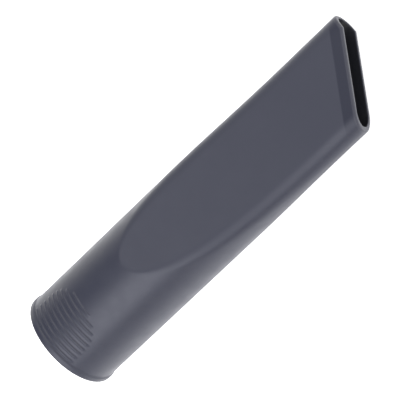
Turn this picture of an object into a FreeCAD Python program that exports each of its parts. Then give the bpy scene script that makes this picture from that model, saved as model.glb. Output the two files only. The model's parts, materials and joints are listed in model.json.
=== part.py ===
import FreeCAD, Part
import math
import os
import Sketcher

# Vacuum crevice tool: one moulded piece, millimetres.
# The tool's own axis runs along X from the socket mouth to the tip, with flats facing +Z and -Z.
# Its Placement then lays it down as it comes to rest, on the start of one flat and the edge of the lip.

# Driving sizes
SIZES = {
    "bore_dia": 35.2,
    "bore_depth": 32.0,
    "socket_wall": 1.9,
    "lead_in": 0.6,
    "draft": 0.0063,
    "tool_length": 154.5,
    "blade_thick": 12.9,
    "blade_start": 130.0,
    "flat_radius": 295.0,
    "edge_round": 6.0,
    "wall": 1.6,
    "corner_lean": 20.0,
    "mouth_back": 6.9,
    "mouth_angle": 30.0,
    "lip_bevel": 0.35,
    "bead_height": 0.45,
    "bead_length": 2.6,
    "bead_bevel": 0.7,
    "rib_first": 3.84,
    "rib_pitch": 2.23,
    "rib_height": 0.35,
    "rib_width": 1.0,
    "rib_crest": 0.4,
    "patch_half_angle": 38.0,
}
RIBS = 9
STRAIGHT_RIBS = 4
SIDES = ((1, "near"), (-1, "far"))
MESH_STEP = 0.02
CLOSE = 1e-6

doc = FreeCAD.newDocument("crevice_tool")
dims = doc.addObject("Spreadsheet::Sheet", "dims")
for row, (alias, size) in enumerate(SIZES.items(), 1):
    dims.set(f"A{row}", alias)
    dims.set(f"B{row}", str(size))
    dims.setAlias(f"B{row}", alias)
doc.recompute()

# Shared formulas
BORE_R = "(dims.bore_dia / 2)"
SOCKET_R = f"({BORE_R} + dims.socket_wall)"
TIP_R = f"({SOCKET_R} - dims.draft * dims.tool_length)"
BEAD_R = f"({SOCKET_R} + dims.bead_height)"
HALF = "(dims.blade_thick / 2)"
EDGE_R = f"min(dims.edge_round; {HALF} - dims.lip_bevel)"
SLOPE = "tan(dims.mouth_angle * 1 deg)"
MOUTH_X = "(dims.tool_length - dims.mouth_back)"
PAST_TIP = "(dims.tool_length + dims.wall)"
PAST_SIDE = f"({BEAD_R} + dims.wall)"
FLAT_CENTRE = f"({HALF} + dims.flat_radius)"


def value(formula):
    return float(dims.evalExpression(formula))


def plane(body, role):
    return next(item for item in body.Origin.OriginFeatures if item.Role == role)


def new_sketch(body, name, role):
    sketch = body.newObject("Sketcher::SketchObject", name)
    sketch.AttachmentSupport = [(plane(body, role), "")]
    sketch.MapMode = "FlatFace"
    return sketch


# Holds a point of a line or arc off the sketch's origin: 1 is its start, 2 its end and 3 its centre
def hold(sketch, index, end, kind, formula):
    number = sketch.addConstraint(Sketcher.Constraint(kind, -1, 1, index, end, value(formula)))
    sketch.setExpression(f"Constraints[{number}]", formula)


def point(place):
    return FreeCAD.Vector(value(place[0]), value(place[1]), 0)


# The shorter arc round a centre, with the numbers of its start and end in the order asked for
def add_arc(sketch, centre, start, end):
    circle = Part.Circle(centre, FreeCAD.Vector(0, 0, 1), (start - centre).Length)
    first, last = circle.parameter(start), circle.parameter(end)
    forward = (last - first) % (2 * math.pi) < math.pi
    span = (first, last) if forward else (last, first)
    sketch.addGeometry(Part.ArcOfCircle(circle, *span), False)
    return (1, 2) if forward else (2, 1)


# A closed loop, each corner held by two formulas. A side with a centre is an arc, the others are straight.
def outline(sketch, corners, centres=None):
    centres = centres or {}
    ends = []
    following = corners[1:] + corners[:1]
    for index, (start, end) in enumerate(zip(corners, following)):
        if index in centres:
            ends.append(add_arc(sketch, point(centres[index]), point(start), point(end)))
        else:
            sketch.addGeometry(Part.LineSegment(point(start), point(end)), False)
            ends.append((1, 2))
    for index, (across, up) in enumerate(corners):
        begin = ends[index][0]
        before = index - 1 if index else len(corners) - 1
        sketch.addConstraint(Sketcher.Constraint("Coincident", before, ends[before][1], index, begin))
        hold(sketch, index, begin, "DistanceX", across)
        hold(sketch, index, begin, "DistanceY", up)
    for index, centre in centres.items():
        hold(sketch, index, 3, "DistanceY", centre[1])
    doc.recompute()


def turn(body, name, sketch, angle):
    feature = body.newObject("PartDesign::Revolution", name)
    feature.Profile = sketch
    feature.ReferenceAxis = (sketch, ["H_Axis"])
    feature.setExpression("Angle", angle)
    feature.Midplane = True
    doc.recompute()
    return feature


def cut_through(body, name, sketch):
    before = body.Tip.Shape.Volume
    feature = body.newObject("PartDesign::Pocket", name)
    feature.Profile = sketch
    feature.Type = "ThroughAll"
    feature.Midplane = True
    check_cut(feature, before)


def check_cut(feature, before):
    doc.recompute()
    if feature.Shape.Volume >= before:
        raise RuntimeError(f"{feature.Name} took nothing away")


# Side view of what one flat cuts away: a hollow arc runs out of the round socket into the parallel blade
def flat_sketch(body, name, side):
    sketch = new_sketch(body, name, "XZ_Plane")
    land = f"{side} * {HALF}"
    top = f"{side} * {PAST_SIDE}"
    start_x = f"dims.blade_start - sqrt(dims.flat_radius^2 - ({FLAT_CENTRE} - {PAST_SIDE})^2)"
    corners = [(start_x, top), (PAST_TIP, top), (PAST_TIP, land), ("dims.blade_start", land)]
    outline(sketch, corners, {3: ("dims.blade_start", f"{side} * {FLAT_CENTRE}")})
    return sketch


# End view, at the blade's start, of what bounds the hollow over one flat. Past its rounded corners
# it leans out across the round side, so that the two cross cleanly.
def duct_sketch(body, name, side):
    sketch = new_sketch(body, name, "YZ_Plane")
    sketch.setExpression(".AttachmentOffset.Base.z", "dims.blade_start")
    land = f"({HALF} - dims.wall)"
    rounding = f"({EDGE_R} - dims.wall)"
    middle_y = f"({TIP_R} - dims.wall - {rounding})"
    middle_z = f"({land} - {rounding})"
    lean = "(dims.corner_lean * 1 deg)"
    off_y = f"({middle_y} + {rounding} * cos{lean})"
    off_z = f"({middle_z} + {rounding} * sin{lean})"
    foot_z = f"({off_z} - ({PAST_SIDE} - {off_y}) / tan{lean})"
    half = [(middle_y, land), (off_y, off_z), (PAST_SIDE, foot_z), (PAST_SIDE, PAST_SIDE)]
    corners = half + [(f"-1 * {y}", z) for y, z in reversed(half)]
    corners = [(y, f"{side} * {z}") for y, z in corners]
    bend_z = f"{side} * {middle_z}"
    outline(sketch, corners, {0: (middle_y, bend_z), len(corners) - 2: (f"-1 * {middle_y}", bend_z)})
    axis_z = f"{side} * {FLAT_CENTRE}"
    axis = sketch.addGeometry(Part.LineSegment(point(("0", axis_z)), point((PAST_SIDE, axis_z))), True)
    for end, y in ((1, "0"), (2, PAST_SIDE)):
        hold(sketch, axis, end, "DistanceX", y)
        hold(sketch, axis, end, "DistanceY", axis_z)
    doc.recompute()
    return sketch


# Names of the edges of a shape whose middle passes a test
def edge_names(shape, test):
    names = []
    for number, edge in enumerate(shape.Edges, 1):
        low, high = edge.ParameterRange
        if test(edge, edge.valueAt((low + high) / 2)):
            names.append(f"Edge{number}")
    return names


def dress_edges(body, kind, names, setting, size):
    base = body.Tip
    feature = body.newObject(f"PartDesign::{kind}", f"{kind.lower()}_edges")
    feature.Base = (base, names)
    feature.setExpression(setting, size)
    doc.recompute()


# A long edge runs along the tool where a flat meets the round side
def on_long_edge(edge, middle):
    box = edge.BoundBox
    off_seam = abs(middle.z) > value("dims.wall")
    return off_seam and box.XLength > value("dims.bead_length") and middle.x < value("dims.tool_length")


# The two flats of the outside, and their rounded long edges
def flatten(body):
    for side, place in SIDES:
        cut_through(body, f"{place}_cut", flat_sketch(body, f"{place}_flat", side))
    dress_edges(body, "Fillet", edge_names(body.Tip.Shape, on_long_edge), "Radius", EDGE_R)


# The same flats inside: the end view is swept back along the hollow arc, then forwards along the blade
def flatten_inside(body):
    sweep = f"acos(({FLAT_CENTRE} - {PAST_SIDE}) / (dims.flat_radius + dims.wall))"
    for side, place in SIDES:
        sketch = duct_sketch(body, f"{place}_duct", side)
        before = body.Tip.Shape.Volume
        swept = body.newObject("PartDesign::Groove", f"{place}_arc")
        swept.Profile = sketch
        swept.ReferenceAxis = (sketch, ["Axis0"])
        swept.setExpression("Angle", sweep)
        swept.Reversed = side < 0
        check_cut(swept, before)
        before = swept.Shape.Volume
        blade = body.newObject("PartDesign::Pocket", f"{place}_blade")
        blade.Profile = sketch
        blade.Type = "ThroughAll"
        blade.Reversed = True
        check_cut(blade, before)


# Outside: a slim cone with a bead round the socket mouth, then the flats
tool = doc.addObject("PartDesign::Body", "tool")
tool.Label = "crevice_tool"
profile = new_sketch(tool, "tool_profile", "XY_Plane")
bead_end = "(dims.bead_length + dims.bead_height)"
outline(
    profile,
    [
        ("0", "0"),
        ("0", f"{BEAD_R} - dims.bead_bevel"),
        ("dims.bead_bevel", BEAD_R),
        ("dims.bead_length", BEAD_R),
        (bead_end, f"{SOCKET_R} - dims.draft * {bead_end}"),
        ("dims.tool_length", TIP_R),
        ("dims.tool_length", "0"),
    ],
)
turn(tool, "tool_cone", profile, "360")
flatten(tool)

# Slanting mouth, its long end cut square
mouth = new_sketch(tool, "mouth_profile", "XY_Plane")
square_y = f"dims.mouth_back / {SLOPE}"
outline(
    mouth,
    [
        ("dims.tool_length", square_y),
        (PAST_TIP, square_y),
        (PAST_TIP, f"-1 * {PAST_SIDE}"),
        (f"{MOUTH_X} - {SLOPE} * {PAST_SIDE}", f"-1 * {PAST_SIDE}"),
    ],
)
cut_through(tool, "mouth_cut", mouth)


# Softened outer edge of the lip
def on_lip(edge, middle):
    slanting_x = value(MOUTH_X) + value(SLOPE) * middle.y
    return math.isclose(middle.x, min(value("dims.tool_length"), slanting_x), rel_tol=CLOSE)


dress_edges(tool, "Chamfer", edge_names(tool.Tip.Shape, on_lip), "Size", "dims.lip_bevel")

# Grip ribs: a patch with a straight end at the mouth and a round far end, on both sides
round_end = f"({RIBS - STRAIGHT_RIBS} * dims.rib_pitch + dims.rib_width)"
ribs = []
for count in range(RIBS):
    sketch = new_sketch(tool, f"rib_profile_{count}", "XZ_Plane")
    middle = f"(dims.rib_first + {count} * dims.rib_pitch)"
    skin = f"({SOCKET_R} - dims.draft * {middle})"
    outline(
        sketch,
        [
            (f"{middle} - dims.rib_width", f"{skin} - dims.rib_height"),
            (f"{middle} + dims.rib_width", f"{skin} - dims.rib_height"),
            (f"{middle} + dims.rib_crest / 2", f"{skin} + dims.rib_height"),
            (f"{middle} - dims.rib_crest / 2", f"{skin} + dims.rib_height"),
        ],
    )
    past = max(0, count + 1 - STRAIGHT_RIBS)
    share = f"sqrt(1 - ({past} * dims.rib_pitch / {round_end})^2)"
    ribs.append(turn(tool, f"rib_{count}", sketch, f"2 * dims.patch_half_angle * {share}"))
far_ribs = tool.newObject("PartDesign::Mirrored", "far_ribs")
far_ribs.Originals = ribs
far_ribs.MirrorPlane = (plane(tool, "XY_Plane"), [""])
tool.Tip = far_ribs
doc.recompute()

# Inside: a straight bore for the tube, then the outside's form one wall thickness in
hollow = doc.addObject("PartDesign::Body", "hollow")
inner = new_sketch(hollow, "hollow_profile", "XY_Plane")
outline(
    inner,
    [
        ("-1 * dims.lead_in", "0"),
        ("-1 * dims.lead_in", f"{BORE_R} + 2 * dims.lead_in"),
        ("dims.lead_in", BORE_R),
        ("dims.bore_depth", BORE_R),
        (PAST_TIP, f"{TIP_R} - dims.wall"),
        (PAST_TIP, "0"),
    ],
)
turn(hollow, "hollow_cone", inner, "360")
flatten_inside(hollow)
emptied = tool.newObject("PartDesign::Boolean", "emptied")
emptied.Type = "Cut"
emptied.setObjects([hollow])
tool.Tip = emptied
doc.recompute()
volume = tool.Shape.Volume

# Resting pose: the surface below touches the slanting edge behind the lip and the start of the far flat
spots = tool.Shape.tessellate(MESH_STEP)[0]
back = FreeCAD.Vector(-1, value(SLOPE), 0).normalize()
lip = FreeCAD.Vector(value(MOUTH_X), 0, -1 * value(HALF)) + back * value("dims.lip_bevel")
behind = [spot - lip for spot in spots if (spot - lip) * back > value("dims.blade_thick")]
lean = max(math.atan2(-1 * step.z, step * back) for step in behind)
up = FreeCAD.Vector(0, 0, math.cos(lean)) + back * math.sin(lean)
pitch = math.degrees(math.atan2(-1 * up.x, math.hypot(up.y, up.z)))
roll = math.degrees(math.atan2(up.y, up.z))
laid = FreeCAD.Rotation(0, pitch, roll)
turned = [laid.multVec(spot) for spot in spots]
low, high = ([end(spot[axis] for spot in turned) for axis in range(3)] for end in (min, max))
centre = FreeCAD.Vector((low[0] + high[0]) / 2, (low[1] + high[1]) / 2, low[2])
tool.Placement = FreeCAD.Placement(centre * -1, laid)
doc.recompute()

# Check and write
for item in doc.Objects:
    if "Invalid" in item.State or "Error" in item.State:
        raise RuntimeError(f"{item.Name}: {item.State}")
shape = tool.Shape
if shape.isNull() or not shape.isValid() or len(shape.Solids) != 1:
    raise RuntimeError("the tool is not one sound solid")
if not math.isclose(shape.Volume, volume, rel_tol=CLOSE):
    raise RuntimeError("laying the tool down changed it")
os.makedirs("parts", exist_ok=True)
shape.exportStep("parts/crevice_tool.step")
mouth_place = tool.Placement.multVec(FreeCAD.Vector())
print("volume", round(shape.Volume), "pitch", round(pitch, 3), "roll", round(roll, 3))
print("socket mouth", mouth_place, "size", [top - bottom for bottom, top in zip(low, high)])
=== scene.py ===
import json
import math

import bpy
import numpy as np
from mathutils import Euler, Matrix, Vector


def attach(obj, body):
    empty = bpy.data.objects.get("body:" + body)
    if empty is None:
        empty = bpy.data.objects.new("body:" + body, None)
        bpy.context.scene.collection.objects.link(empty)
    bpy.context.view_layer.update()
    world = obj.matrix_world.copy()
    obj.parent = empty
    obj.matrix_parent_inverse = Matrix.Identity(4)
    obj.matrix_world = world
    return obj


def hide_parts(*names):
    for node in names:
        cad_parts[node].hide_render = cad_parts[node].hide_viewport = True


# Vacuum crevice tool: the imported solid's form again as one dense, even mesh, with its plastic finish.
# The mesh is made in the tool's own frame: X from the socket mouth to the tip, flats facing +Z and -Z.
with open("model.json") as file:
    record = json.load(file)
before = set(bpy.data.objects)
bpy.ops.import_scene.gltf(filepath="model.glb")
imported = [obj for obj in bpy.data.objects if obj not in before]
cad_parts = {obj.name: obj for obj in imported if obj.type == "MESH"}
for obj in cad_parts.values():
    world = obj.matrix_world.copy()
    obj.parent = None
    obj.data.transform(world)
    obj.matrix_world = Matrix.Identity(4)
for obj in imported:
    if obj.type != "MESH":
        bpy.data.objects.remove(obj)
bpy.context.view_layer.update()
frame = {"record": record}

# Sizes of the tool, in millimetres
MM = 0.001
BORE_R = 17.6
BORE_DEPTH = 32.0
LEAD_IN = 0.6
SOCKET_R = 19.5
DRAFT = 0.0063
TOOL_LENGTH = 154.5
HALF_BLADE = 6.45
BLADE_START = 130.0
FLAT_RADIUS = 295.0
ARCH_X = 44.2
EDGE_ROUND = 6.0
WALL = 1.6
MOUTH_X = 147.6
MOUTH_ANGLE = math.radians(30.0)
LIP_ROUND = 0.75
INNER_LIP_ROUND = 0.12
CORNER_BLEND = 0.02
BEAD_HEIGHT = 0.45
BEAD_LENGTH = 2.6
BEAD_ROUND = 1.0
BEAD_FLANK = 0.7
RIBS = 9
STRAIGHT_RIBS = 4
RIB_FIRST = 3.84
RIB_PITCH = 2.23
RIB_HEIGHT = 0.35
RIB_FOOT = 0.62
RIB_CREST = 0.18
RIB_FADE = 1.1
PATCH_HALF_ANGLE = math.radians(38.0)
PATCH_MARGIN = 1.0

# Sizes that follow from them
SLOPE = math.tan(MOUTH_ANGLE)
TIP_R = SOCKET_R - DRAFT * TOOL_LENGTH
CORNER_Y = (TOOL_LENGTH - MOUTH_X) / SLOPE
HALF_FLAT = math.sqrt((TIP_R - EDGE_ROUND) ** 2 - (HALF_BLADE - EDGE_ROUND) ** 2)
ROUND_END = (RIBS - STRAIGHT_RIBS) * RIB_PITCH + PATCH_MARGIN

# Points in a quarter of a ring, the one that sits on the lip's corner, and a height that means no flat
QUARTER = 60
CORNER_INDEX = 34
NO_FLAT = 99.0

# Where the rings are: places, or spans given by their first, their last and how many
BEAD_STEPS = 9
BEAD_PLACES = (1.6, 2.2, 2.4, 2.55, 2.7, 2.85)
RIB_PLACES = (-0.78, -0.62, -0.48, -0.34, -0.2, 0.0, 0.2, 0.34, 0.48, 0.62, 0.78, 1.1)
BODY_SPANS = ((24.0, 41.5, 11), (42.0, 66.0, 49), (68.0, BLADE_START, 28))
BLADE_SHARES = (0.12, 1.0, 9)
BLADE_LIP_GAP = 1.5 * LIP_ROUND
LIP_STEPS = 9
INNER_LIP_STEPS = 4
DUCT_LIP_GAP = 0.6
DUCT_SHARES = (1.0, 0.1, 8)
DUCT_SPANS = ((BLADE_START, 60.0, 24), (58.0, BORE_DEPTH, 18))
BORE_SPAN = (28.0, LEAD_IN, 8)
SHARP_RINGS = 2

# Colours and gloss of the plastic, with painted shade in the band along the mouth and inside, and wear with
# painted highlight on the edges and lip
SLATE_DARK = (0.0352, 0.0379, 0.0591)
SLATE_LIGHT = (0.0392, 0.0419, 0.0639)
BAND_PAINTED_SHADE = (0.0135, 0.0158, 0.0340)
INSIDE_PAINTED_SHADE = (0.016, 0.017, 0.022)
WORN_HIGHLIGHT_SLATE = (0.066, 0.068, 0.088)
IOR = 1.5
ROUGHNESS = 0.40
ROUGHNESS_SPREAD = 0.03
BAND_ROUGHNESS = 0.29

# Reach of the band of painted shade and of the lip's wear and painted highlight in millimetres, and how far
# the lip and the edges turn pale with wear and painted highlight
BAND_WIDTH = 5.4
BAND_BLUR = 0.4
BAND_FADE = (-5.5, 0.0)
GLOSS_FADE = (-0.5, 2.5)
RUB_HIGHLIGHT_WIDTH = 1.4
RUB_HIGHLIGHT_SHARE = 0.5
EDGE_BULGE = (0.52, 0.62)
EDGE_WEAR_HIGHLIGHT_SHARE = 0.35

# Noise in the plastic as scale and detail: clouds in its colour, smears in its gloss, and its grain
CLOUDS = (60.0, 4.0)
SMEARS = (220.0, 3.0)
SMEAR_RANGE = (0.3, 0.7)
GRAIN = (2600.0, 2.0)
GRAIN_DEPTH = 0.02 * MM
GRAIN_STRENGTH = 0.25
BAND_GRAIN_STRENGTH = 0.05

# Studio, in metres: a pale table that glows under the socket and the tip, and a white surround
WHITE = (1.0, 1.0, 1.0, 1.0)
FLOOR_SIZE = 6.0
FLOOR_WHITE = (0.92, 0.92, 0.92, 1.0)
FLOOR_ROUGHNESS = 0.8
SOCKET_GLOW = {"centre": (-0.068, 0.075, 0.0), "inner": 0.10, "outer": 0.19, "strength": 0.9}
TIP_GLOW = {"centre": (0.09, -0.005, 0.0), "inner": 0.03, "outer": 0.07, "strength": 0.3}
SURROUND = 0.82

# Tints of the softboxes, cool on the near flat and warm at the sides and the tip, and of the cards
DAYLIGHT = (0.98, 0.99, 1.06)
WARM_WHITE = (1.03, 1.0, 0.90)
CARD_BLACK = (0.01, 0.01, 0.01)
CARD_GREY = (0.44, 0.40, 0.28)

# Camera: the tool's spin in the picture, the lean of its tip to the camera, its turn about its own axis
SPIN = math.radians(43.71)
NOD = math.radians(20.43)
TURN = math.radians(21.05)

# The point that the camera looks at along the tool, how far it lies off the middle, and the distance to it
AIM_X = 80.0
AIM_OFF = (6.484, 0.108)
AWAY = 525.76
FOCAL_PX = 1496.4
PICTURE_PX = 400
SENSOR_MM = 36.0
CLIP_START = 0.01


# Placement of the tool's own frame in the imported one, from the socket mount and the slant of the lip
def laid_down():
    socket = next(mount for mount in frame["record"]["mounts"] if mount["name"] == "socket")
    out = Vector(socket["axis"])
    mouth = Vector(socket["pos_m"]) + out * (socket["dims"]["length_mm"] / 2 + LEAD_IN) * MM
    pitch = math.asin(out.z)
    lean = math.asin(math.sin(pitch) / math.cos(MOUTH_ANGLE))
    roll = math.atan2(math.sin(lean) * math.sin(MOUTH_ANGLE), math.cos(lean))
    return Matrix.Translation(mouth) @ Euler((roll, pitch, 0.0)).to_matrix().to_4x4()


LAID = laid_down()


# Outer and inner form: round radius and half height of the flats at a distance along the tool
def outer_radius(x):
    return SOCKET_R - DRAFT * x


def inner_radius(x):
    taper = (BORE_R - (TIP_R - WALL)) / (TOOL_LENGTH + WALL - BORE_DEPTH)
    return BORE_R - taper * np.maximum(x - BORE_DEPTH, 0.0)


def flat_height(x, inset):
    radius = FLAT_RADIUS + inset
    before = np.clip(BLADE_START - x, 0.0, radius)
    return HALF_BLADE - inset + radius - np.sqrt(radius**2 - before**2)


# Height of the flats with their edge rolled over where they run out of the round socket, at the arch
def rolled_height(radius, height, rounding):
    slope = math.tan(math.asin((BLADE_START - ARCH_X) / FLAT_RADIUS))
    depth = rounding * slope**2 / 4
    gap = (height - radius) / (depth * 2)
    eased = radius - depth * (1 - gap) ** 2 / 2
    return np.select([gap > 1, gap < -1], [NO_FLAT, height], eased)


# A quarter of a ring from the middle of a flat to the middle of a narrow side: points and normals (y, z)
def quarter_ring(radius, height, rounding, share):
    centre_z = np.minimum(height, radius) - rounding
    straight = np.sqrt(np.maximum((radius - rounding) ** 2 - centre_z**2, 0.0))
    turn = np.arctan2(straight, centre_z)
    bend = rounding * turn
    along = share * (straight + bend + radius * (math.pi / 2 - turn))
    on_flat = along < straight
    on_side = along > straight + bend
    side_angle = turn + (along - straight - bend) / radius
    angle = np.select([on_flat, on_side], [0.0, side_angle], (along - straight) / rounding)
    across = np.sin(angle)
    over = np.cos(angle)
    y = np.where(on_side, radius * across, np.minimum(along, straight) + rounding * across)
    z = np.where(on_side, radius * over, centre_z + rounding * over)
    return y, z, across, over


# How far round the quarter each point sits, with one point held on the lip's corner
def shares(inset):
    turn = math.atan2(HALF_FLAT, HALF_BLADE - EDGE_ROUND)
    bend = (EDGE_ROUND - inset) * turn
    length = HALF_FLAT + bend + (TIP_R - inset) * (math.pi / 2 - turn)
    return np.interp(np.arange(QUARTER + 1), (0, CORNER_INDEX, QUARTER), (0, CORNER_Y / length, 1))


INDEX = np.concatenate([np.arange(QUARTER), np.arange(QUARTER, 0, -1)] * 2)
SIDE_Y = np.repeat((1, 1, -1, -1), QUARTER)
SIDE_Z = np.repeat((1, -1, -1, 1), QUARTER)
SHARES = {0.0: shares(0.0)[INDEX], WALL: shares(WALL)[INDEX]}


# One ring of the outside (inset 0) or inside (inset wall) at x, which may differ from point to point
def ring(x, inset):
    x = np.broadcast_to(np.asarray(x, float), INDEX.shape)
    radius = inner_radius(x) if inset else outer_radius(x)
    rounding = EDGE_ROUND - inset
    height = rolled_height(radius, flat_height(x, inset), rounding)
    y, z, across, over = quarter_ring(radius, height, rounding, SHARES[inset])
    points = np.stack([x, y * SIDE_Y, z * SIDE_Z], 1)
    normals = np.stack([np.zeros_like(x), across * SIDE_Y, over * SIDE_Z], 1)
    return points, normals


def round_ring(x, radius):
    points = ring(x, 0.0)[0]
    unit = points[:, 1:] / np.linalg.norm(points[:, 1:], axis=1, keepdims=True)
    return np.column_stack([points[:, 0], unit * radius])


def mouth_x(y):
    return np.minimum(TOOL_LENGTH, MOUTH_X + SLOPE * y)


# A ring that follows the slanting mouth: share 0 is square at the blade's start, share 1 is gap short of
# the lip. It is worked out twice, because its points shift across a little as they move along.
def slanting_ring(share, gap, inset):
    points, normals = ring(BLADE_START, inset)
    for _ in range(2):
        x = BLADE_START + share * (mouth_x(points[:, 1]) - gap - BLADE_START)
        points, normals = ring(x, inset)
    return points, normals


# Outward normal of the lip's face, shared out at the corner
def lip_normals(y):
    slanting = np.array([math.cos(MOUTH_ANGLE), -math.sin(MOUTH_ANGLE), 0.0])
    square = np.array([1.0, 0.0, 0.0])
    share = np.clip((y - CORNER_Y) / CORNER_BLEND + 0.5, 0.0, 1.0)[:, None]
    blend = slanting * (1 - share) + square * share
    return blend / np.linalg.norm(blend, axis=1, keepdims=True)


# Rings that roll an edge over from one face's normals to another's
def rolled_edge(edge, first, second, radius, steps):
    facing = (first * second).sum(1, keepdims=True)
    centre = edge - radius * (first + second) / (1 + facing)
    angle = np.arccos(np.clip(facing, -1.0, 1.0))
    rings = []
    for share in np.linspace(0.0, 1.0, steps):
        direction = (np.sin((1 - share) * angle) * first + np.sin(share * angle) * second) / np.sin(angle)
        rings.append(centre + radius * direction)
    return rings


def smooth_step(share):
    share = np.clip(share, 0.0, 1.0)
    return share * share * (3 - 2 * share)


# Grip ribs on both flats' sides: height above the round socket at each point
def rib_heights(points):
    radius = np.hypot(points[:, 1], points[:, 2])
    around = np.arctan2(np.abs(points[:, 1]), np.abs(points[:, 2]))
    total = np.zeros(len(points))
    for count in range(RIBS):
        past = max(0, count + 1 - STRAIGHT_RIBS) * RIB_PITCH / ROUND_END
        half_angle = PATCH_HALF_ANGLE * math.sqrt(1 - past**2)
        off = np.abs(points[:, 0] - RIB_FIRST - count * RIB_PITCH)
        profile = smooth_step((RIB_FOOT - off) / (RIB_FOOT - RIB_CREST))
        window = smooth_step((half_angle - around) * radius / RIB_FADE + 0.5)
        total += RIB_HEIGHT * profile * window
    return total


def socket_ring(x):
    points, normals = ring(x, 0.0)
    bead = BEAD_HEIGHT * smooth_step((BEAD_LENGTH + BEAD_FLANK / 2 - x) / BEAD_FLANK)
    return points + normals * (rib_heights(points) + bead)[:, None]


# Rings of the outside, from the socket's rim to the lip
def bead_rings():
    rings = []
    for step in np.linspace(0.0, math.pi / 2, BEAD_STEPS):
        radius = SOCKET_R + BEAD_HEIGHT - BEAD_ROUND * (1 - math.sin(step))
        rings.append(round_ring(BEAD_ROUND * (1 - math.cos(step)), radius))
    return rings


def socket_rings():
    places = [np.array(BEAD_PLACES)]
    for count in range(RIBS):
        places.append(RIB_FIRST + count * RIB_PITCH + np.array(RIB_PLACES))
    return [socket_ring(x) for x in np.concatenate(places)]


def straight_rings(spans, inset):
    return [ring(x, inset)[0] for span in spans for x in np.linspace(*span)]


def slanting_rings(span, gap, inset):
    return [slanting_ring(share, gap, inset)[0] for share in np.linspace(*span)]


def lip_rings():
    edge, normals = slanting_ring(1.0, 0.0, 0.0)
    rings = rolled_edge(edge, normals, lip_normals(edge[:, 1]), LIP_ROUND, LIP_STEPS)
    edge, normals = slanting_ring(1.0, 0.0, WALL)
    rings += rolled_edge(edge, lip_normals(edge[:, 1]), -normals, INNER_LIP_ROUND, INNER_LIP_STEPS)
    return rings


def outside_rings():
    body = straight_rings(BODY_SPANS, 0.0)
    blade = slanting_rings(BLADE_SHARES, BLADE_LIP_GAP, 0.0)
    return bead_rings() + socket_rings() + body + blade + lip_rings()


# Rings of the inside, from the lip back to the socket's mouth. The last ones, at the lead-in, are sharp.
def inside_rings():
    blade = slanting_rings(DUCT_SHARES, DUCT_LIP_GAP, WALL)
    body = straight_rings(DUCT_SPANS, WALL)
    bore = [round_ring(x, BORE_R) for x in np.linspace(*BORE_SPAN)]
    return blade + body + bore + [round_ring(0.0, BORE_R + LEAD_IN)]


# Four-sided faces from each ring to the next, and from the last to the first
def faces_between(rings, per_ring):
    around = np.arange(per_ring)
    after = np.roll(around, -1)
    faces = []
    for count in range(rings):
        here = count * per_ring
        there = (count + 1) % rings * per_ring
        faces.append(np.stack([here + around, here + after, there + after, there + around], 1))
    return np.concatenate(faces).tolist()


# A value for the material at each point of the mesh
def paint(mesh, name, values):
    mesh.attributes.new(name, "FLOAT", "POINT").data.foreach_set("value", values.astype(float))


def build_tool():
    outside = outside_rings()
    rings = outside + inside_rings()
    per_ring = len(INDEX)
    points = np.concatenate(rings)
    placed = points * MM @ np.array(LAID.to_3x3()).T + np.array(LAID.translation)
    mesh = bpy.data.meshes.new("crevice_tool_body")
    mesh.from_pydata(placed.tolist(), [], faces_between(len(rings), per_ring))
    mesh.shade_smooth()
    for edge in mesh.edges:
        first, second = (vertex // per_ring for vertex in edge.vertices)
        edge.use_edge_sharp = first == second and first >= len(rings) - SHARP_RINGS
    x = points[:, 0]
    y = points[:, 1]
    # Masks for the material: the band of painted shade along the mouth, the lip's wear and painted
    # highlight, the flats' edges, and the inside painted darker as shade
    paint(mesh, "band_gap", MOUTH_X + SLOPE * y - x)
    paint(mesh, "lip_gap", mouth_x(y) - x)
    paint(mesh, "edge_gap", HALF_FLAT - np.abs(y))
    paint(mesh, "inside", np.repeat(np.arange(len(rings)) >= len(outside), per_ring))
    mesh.update()
    piece = bpy.data.objects.new("crevice_tool_body", mesh)
    bpy.context.scene.collection.objects.link(piece)
    return piece


# Small helpers for materials
def add(tree, kind, settings=None, **inputs):
    node = tree.nodes.new(kind)
    for name, setting in (settings or {}).items():
        setattr(node, name, setting)
    for name, setting in inputs.items():
        node.inputs[name.replace("_", " ")].default_value = setting
    return node


def painted(tree, name):
    return add(tree, "ShaderNodeAttribute", {"attribute_name": name}).outputs["Fac"]


def noise(tree, place, scale, detail):
    node = add(tree, "ShaderNodeTexNoise", Scale=scale, Detail=detail)
    tree.links.new(place, node.inputs["Vector"])
    return node.outputs["Fac"]


# A soft ramp from one value to another, which may itself come from a node
def ranged(tree, source, low, high, to_low, to_high):
    soft = {"interpolation_type": "SMOOTHSTEP"}
    node = add(tree, "ShaderNodeMapRange", soft, From_Min=low, From_Max=high, To_Min=to_low)
    tree.links.new(source, node.inputs["Value"])
    if isinstance(to_high, float):
        node.inputs["To Max"].default_value = to_high
    else:
        tree.links.new(to_high, node.inputs["To Max"])
    return node.outputs["Result"]


def mixed(tree, share, first, second):
    node = add(tree, "ShaderNodeMix", {"data_type": "RGBA"})
    tree.links.new(share, node.inputs["Factor"])
    for name, source in (("A", first), ("B", second)):
        socket = next(item for item in node.inputs if item.name == name and item.type == "RGBA")
        if isinstance(source, tuple):
            socket.default_value = (*source, 1.0)
        else:
            tree.links.new(source, socket)
    return next(item for item in node.outputs if item.type == "RGBA")
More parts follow.
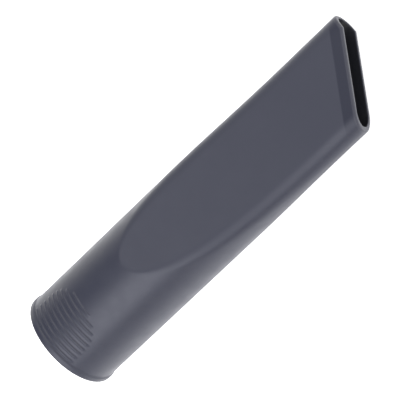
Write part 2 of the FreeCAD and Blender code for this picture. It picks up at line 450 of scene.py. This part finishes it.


# Slate satin plastic with a fine grain, paler on its edges and lip with wear and painted highlight, and
# smoother in a band along the mouth that is darkened with painted shade, and darkened inside with painted
# shade
def plastic():
    material = bpy.data.materials.new("slate_satin_plastic")
    material.use_nodes = True
    tree = material.node_tree
    shader = tree.nodes["Principled BSDF"]
    shader.inputs["IOR"].default_value = IOR
    place = add(tree, "ShaderNodeTexCoord").outputs["Object"]
    edge_gap = painted(tree, "edge_gap")
    band_gap = painted(tree, "band_gap")
    on_flat = ranged(tree, edge_gap, *BAND_FADE, 0.0, 1.0)
    band = ranged(tree, band_gap, BAND_WIDTH + BAND_BLUR, BAND_WIDTH - BAND_BLUR, 0.0, on_flat)
    # Wear with painted highlight: the lip is coloured paler within its rubbed width
    rubbed_and_highlit = ranged(tree, painted(tree, "lip_gap"), RUB_HIGHLIGHT_WIDTH, RUB_HIGHLIGHT_WIDTH / 2, 0.0, RUB_HIGHLIGHT_SHARE)
    # Wear with painted highlight: sharp edges are coloured paler
    bulge = add(tree, "ShaderNodeNewGeometry").outputs["Pointiness"]
    edge = ranged(tree, bulge, *EDGE_BULGE, 0.0, EDGE_WEAR_HIGHLIGHT_SHARE)
    body = mixed(tree, noise(tree, place, *CLOUDS), SLATE_DARK, SLATE_LIGHT)
    # Painted shade: the band along the mouth is coloured darker, fading out before the flats' rolled edges
    band_shaded = mixed(tree, band, body, BAND_PAINTED_SHADE)
    rim = mixed(tree, rubbed_and_highlit, band_shaded, WORN_HIGHLIGHT_SLATE)
    worn_and_highlit = mixed(tree, edge, rim, WORN_HIGHLIGHT_SLATE)
    # Painted shade: the inside of the duct is coloured darker
    whole = mixed(tree, painted(tree, "inside"), worn_and_highlit, INSIDE_PAINTED_SHADE)
    tree.links.new(whole, shader.inputs["Base Color"])
    smear = noise(tree, place, *SMEARS)
    satin = ranged(tree, smear, *SMEAR_RANGE, ROUGHNESS - ROUGHNESS_SPREAD, ROUGHNESS + ROUGHNESS_SPREAD)
    smooth = add(tree, "ShaderNodeMix", B=BAND_ROUGHNESS)
    tree.links.new(ranged(tree, edge_gap, *GLOSS_FADE, 0.0, band), smooth.inputs["Factor"])
    tree.links.new(satin, smooth.inputs["A"])
    tree.links.new(smooth.outputs["Result"], shader.inputs["Roughness"])
    grain = add(tree, "ShaderNodeBump", Distance=GRAIN_DEPTH)
    strength = ranged(tree, band, 0.0, 1.0, GRAIN_STRENGTH, BAND_GRAIN_STRENGTH)
    tree.links.new(noise(tree, place, *GRAIN), grain.inputs["Height"])
    tree.links.new(strength, grain.inputs["Strength"])
    tree.links.new(grain.outputs["Normal"], shader.inputs["Normal"])
    return material


def dress(piece, material):
    piece.data.materials.clear()
    piece.data.materials.append(material)


# A round spot of light in the table, fading out from its inner reach to its outer one
def glow(tree, place, centre, inner, outer, strength):
    reach = add(tree, "ShaderNodeVectorMath", {"operation": "DISTANCE"})
    tree.links.new(place, reach.inputs[0])
    reach.inputs[1].default_value = centre
    return ranged(tree, reach.outputs["Value"], inner, outer, strength, 0.0)


def add_floor():
    bpy.ops.mesh.primitive_plane_add(size=FLOOR_SIZE)
    floor = bpy.context.object
    floor.name = "floor"
    material = bpy.data.materials.new("pale_floor")
    material.use_nodes = True
    tree = material.node_tree
    shader = tree.nodes["Principled BSDF"]
    shader.inputs["Base Color"].default_value = FLOOR_WHITE
    shader.inputs["Roughness"].default_value = FLOOR_ROUGHNESS
    shader.inputs["Emission Color"].default_value = WHITE
    place = add(tree, "ShaderNodeTexCoord").outputs["Object"]
    both = add(tree, "ShaderNodeMath", {"operation": "ADD"})
    for socket, spot in zip(both.inputs, (SOCKET_GLOW, TIP_GLOW)):
        tree.links.new(glow(tree, place, **spot), socket)
    tree.links.new(both.outputs["Value"], shader.inputs["Emission Strength"])
    dress(floor, material)


def add_world():
    world = bpy.data.worlds.new("studio")
    bpy.context.scene.world = world
    world.use_nodes = True
    background = world.node_tree.nodes["Background"]
    background.inputs["Color"].default_value = WHITE
    background.inputs["Strength"].default_value = SURROUND


# Places for lights and cards, in degrees: turned round the tool's axis from the near flat towards its short
# side, then leant along it towards the tip
def off_tool(around, along, away):
    around = math.radians(around)
    along = math.radians(along)
    out = Vector((math.sin(along), -math.cos(along) * math.sin(around), math.cos(along) * math.cos(around)))
    facing = LAID.to_3x3() @ out
    axis = LAID.to_3x3() @ Vector((1.0, 0.0, 0.0))
    upright = (axis - facing * axis.dot(facing)).normalized()
    place = Matrix((upright.cross(facing), upright, facing)).transposed().to_4x4()
    place.translation = LAID @ Vector((TOOL_LENGTH / 2 * MM, 0.0, 0.0)) + facing * away
    return place


def add_softbox(name, around, along, away, size, radiance, tint):
    data = bpy.data.lights.new(name, "AREA")
    data.shape = "RECTANGLE"
    data.color = tint
    data.size, data.size_y = size
    data.energy = math.pi * math.prod(size) * radiance
    softbox = bpy.data.objects.new(name, data)
    bpy.context.scene.collection.objects.link(softbox)
    softbox.matrix_world = off_tool(around, along, away)
    softbox.visible_camera = False


# A card that shows only in the tool's gloss, as studios use to shape a darker edge
def add_card(name, around, along, away, size, colour):
    bpy.ops.mesh.primitive_plane_add(size=1.0)
    card = bpy.context.object
    card.name = name
    card.matrix_world = off_tool(around, along, away) @ Matrix.Diagonal((*size, 1.0, 1.0))
    card.visible_camera = False
    card.visible_diffuse = False
    card.visible_shadow = False
    material = bpy.data.materials.new(name)
    material.use_nodes = True
    shader = material.node_tree.nodes["Principled BSDF"]
    shader.inputs["Base Color"].default_value = (*colour, 1.0)
    shader.inputs["Roughness"].default_value = 1.0
    dress(card, material)


def add_camera():
    aim = Matrix.Translation((-AIM_X * MM, 0.0, 0.0))
    turned = Euler((-TURN, -NOD, SPIN)).to_matrix().to_4x4()
    back = Matrix.Translation(Vector((*AIM_OFF, -AWAY)) * MM)
    seen = back @ turned @ aim
    data = bpy.data.cameras.new("camera")
    data.sensor_width = SENSOR_MM
    data.lens = FOCAL_PX / PICTURE_PX * SENSOR_MM
    data.clip_start = CLIP_START
    camera = bpy.data.objects.new("camera", data)
    bpy.context.scene.collection.objects.link(camera)
    camera.matrix_world = LAID @ seen.inverted()
    bpy.context.scene.camera = camera


tool = build_tool()
dress(tool, plastic())
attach(tool, "root")
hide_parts("crevice_tool")

add_floor()
add_world()
add_softbox("key", around=35.5, along=-30.5, away=0.9, size=(0.75, 0.68), radiance=2.45, tint=DAYLIGHT)
add_softbox("fill", around=-22.0, along=11.0, away=1.0, size=(0.5, 0.7), radiance=0.64, tint=DAYLIGHT)
add_softbox("rim", around=-45.0, along=60.0, away=1.0, size=(0.5, 0.6), radiance=2.0, tint=WARM_WHITE)
add_softbox("side", around=-98.0, along=-27.0, away=1.0, size=(0.3, 0.6), radiance=1.2, tint=WARM_WHITE)
add_softbox("tip", around=42.0, along=52.0, away=1.0, size=(0.5, 0.5), radiance=1.2, tint=WARM_WHITE)
add_card("black_card", around=-37.5, along=-38.0, away=0.8, size=(0.66, 0.5), colour=CARD_BLACK)
add_card("grey_card", around=80.0, along=-13.0, away=0.8, size=(0.34, 0.6), colour=CARD_GREY)
add_camera()
bpy.context.scene.view_settings.view_transform = "Standard"
